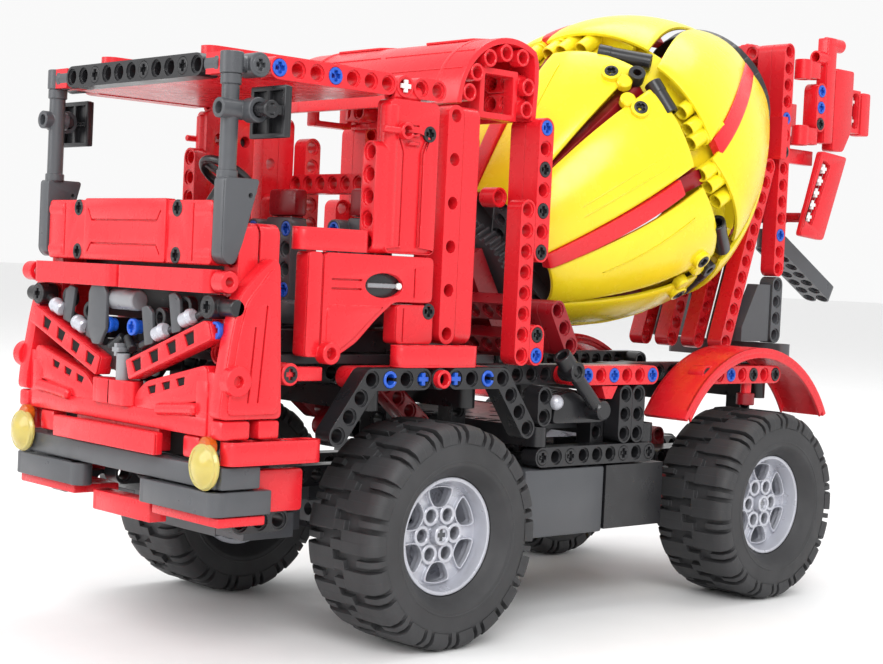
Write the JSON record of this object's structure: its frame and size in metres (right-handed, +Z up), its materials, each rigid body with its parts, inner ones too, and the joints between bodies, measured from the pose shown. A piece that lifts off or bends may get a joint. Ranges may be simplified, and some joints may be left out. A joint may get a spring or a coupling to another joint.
{
  "type": "toy cement mixer truck",
  "caption": "Toy cement mixer truck of studless beams and panels, with a turning tilted drum, steered front wheels, rolling rear axle, tilting mirrors and a swinging chute.",
  "frame": {"origin": "middle of the truck's box in plan, on the ground under the tyres", "axes": "+Z up, -Y the way the truck drives, +X the truck's left side"},
  "size_m": [0.1634, 0.4344, 0.2608],
  "materials": {
    "red": "glossy moulded ABS",
    "dark_red": "glossy moulded ABS",
    "black": "satin moulded ABS",
    "dark_grey": "satin moulded ABS",
    "light_grey": "satin moulded ABS",
    "yellow": "glossy moulded ABS",
    "blue": "glossy moulded ABS",
    "silver_plastic": "silver-grey moulded ABS with a metallic flake",
    "clear_yellow": "clear yellow faceted plastic",
    "tyre": "soft moulded rubber"
  },
  "bodies": {
    "root": {"chassis_rails": "black", "chassis_beams": "black", "red_side_beams": "red", "middle_deck": "dark_grey", "battery_box": "dark_grey", "motor_box": "black", "gear_lever": "black", "front_axle_housing": "dark_grey", "rear_axle_housing": "dark_red", "front_fenders": "black", "cab_floor": "black", "cab_side_panels": "red", "cab_columns": "red", "door_panels": "red", "door_handles": "light_grey", "corner_fairings": "red", "bumper": "dark_grey", "number_plate": "red", "headlights": "clear_yellow", "grille_panels": "red", "grille_trim": "black", "front_beams": "red", "windscreen_panel": "red", "roof_front_beam": "black", "roof_frame": "red", "roof_deflector": "red", "windscreen_pillars": "dark_grey", "seats": "dark_grey", "dashboard": "black", "drum_front_frame": "red", "drum_bearing": "dark_red", "rear_mudguards": "red", "tower_beams": "red", "tower_supports": "dark_grey", "hopper_frame": "red", "pins_black": "black", "pins_blue": "blue"},
    "drum": {"drum_front_panels": "yellow", "drum_rear_panels": "yellow", "drum_strips": "red", "drum_frame": "black", "drum_shaft": "dark_grey", "drum_gear": "dark_grey"},
    "pinion": {"drive_pinion": "light_grey"},
    "roller_left": {"roller_left": "black"},
    "roller_right": {"roller_right": "black"},
    "knuckle_left": {"knuckle_left": "dark_grey"},
    "knuckle_right": {"knuckle_right": "dark_grey"},
    "tie_rod": {"tie_rod": "black"},
    "wheel_front_left": {"rim_front_left": "silver_plastic", "tyre_front_left": "tyre"},
    "wheel_front_right": {"rim_front_right": "silver_plastic", "tyre_front_right": "tyre"},
    "rear_axle": {"rear_axle": "light_grey", "rims_rear": "silver_plastic", "tyres_rear": "tyre"},
    "steering_wheel": {"steering_wheel": "black"},
    "mirror_left": {"mirror_left": "black"},
    "mirror_right": {"mirror_right": "black"},
    "chute": {"chute": "dark_grey"}
  },
  "joints": [
    {"name": "drum_spin", "type": "hinge", "parent": "root", "child": "drum", "pos_m": [0, 0.0452, 0.1864], "axis": [0, 0.8616, 0.5075], "continuous": true},
    {"name": "pinion_spin", "type": "hinge", "parent": "root", "child": "pinion", "pos_m": [0, 0.05738, 0.16572], "axis": [0, 0.8616, 0.5075], "continuous": true},
    {"name": "roller_left_spin", "type": "hinge", "parent": "root", "child": "roller_left", "pos_m": [0.01194, 0.06385, 0.15474], "axis": [0, 0.8616, 0.5075], "continuous": true},
    {"name": "roller_right_spin", "type": "hinge", "parent": "root", "child": "roller_right", "pos_m": [-0.01194, 0.06385, 0.15474], "axis": [0, 0.8616, 0.5075], "continuous": true},
    {"name": "steer_left", "type": "hinge", "parent": "root", "child": "knuckle_left", "pos_m": [0.044, -0.118, 0.0408], "axis": [0, 0, 1], "range_deg": [-25, 25]},
    {"name": "steer_right", "type": "hinge", "parent": "root", "child": "knuckle_right", "pos_m": [-0.044, -0.118, 0.0408], "axis": [0, 0, 1], "range_deg": [-25, 25]},
    {"name": "tie_slide", "type": "slide", "parent": "root", "child": "tie_rod", "axis": [1, 0, 0], "range_m": [-0.007, 0.007]},
    {"name": "wheel_front_left_spin", "type": "hinge", "parent": "knuckle_left", "child": "wheel_front_left", "pos_m": [0.0627, -0.118, 0.0408], "axis": [1, 0, 0], "continuous": true},
    {"name": "wheel_front_right_spin", "type": "hinge", "parent": "knuckle_right", "child": "wheel_front_right", "pos_m": [-0.0627, -0.118, 0.0408], "axis": [1, 0, 0], "continuous": true},
    {"name": "rear_axle_spin", "type": "hinge", "parent": "root", "child": "rear_axle", "pos_m": [0, 0.074, 0.0408], "axis": [1, 0, 0], "continuous": true},
    {"name": "steering_wheel_spin", "type": "hinge", "parent": "root", "child": "steering_wheel", "pos_m": [0.0256, -0.1916, 0.1552], "axis": [0, 0.5736, 0.8192], "continuous": true},
    {"name": "mirror_left_tilt", "type": "hinge", "parent": "root", "child": "mirror_left", "pos_m": [0.0648, -0.2004, 0.1856], "axis": [1, 0, 0], "range_deg": [-30, 30]},
    {"name": "mirror_right_tilt", "type": "hinge", "parent": "root", "child": "mirror_right", "pos_m": [-0.0648, -0.2004, 0.1856], "axis": [1, 0, 0], "range_deg": [-30, 30]},
    {"name": "chute_swing", "type": "hinge", "parent": "root", "child": "chute", "pos_m": [0, 0.1652, 0.16], "axis": [0, 0, 1], "range_deg": [-30, 30]}
  ],
  "couplings": [
    {"joint": "steer_right", "follows": "steer_left", "ratio": 1},
    {"joint": "tie_slide", "follows": "steer_left", "m_per_rad": -0.0157}
  ]
}
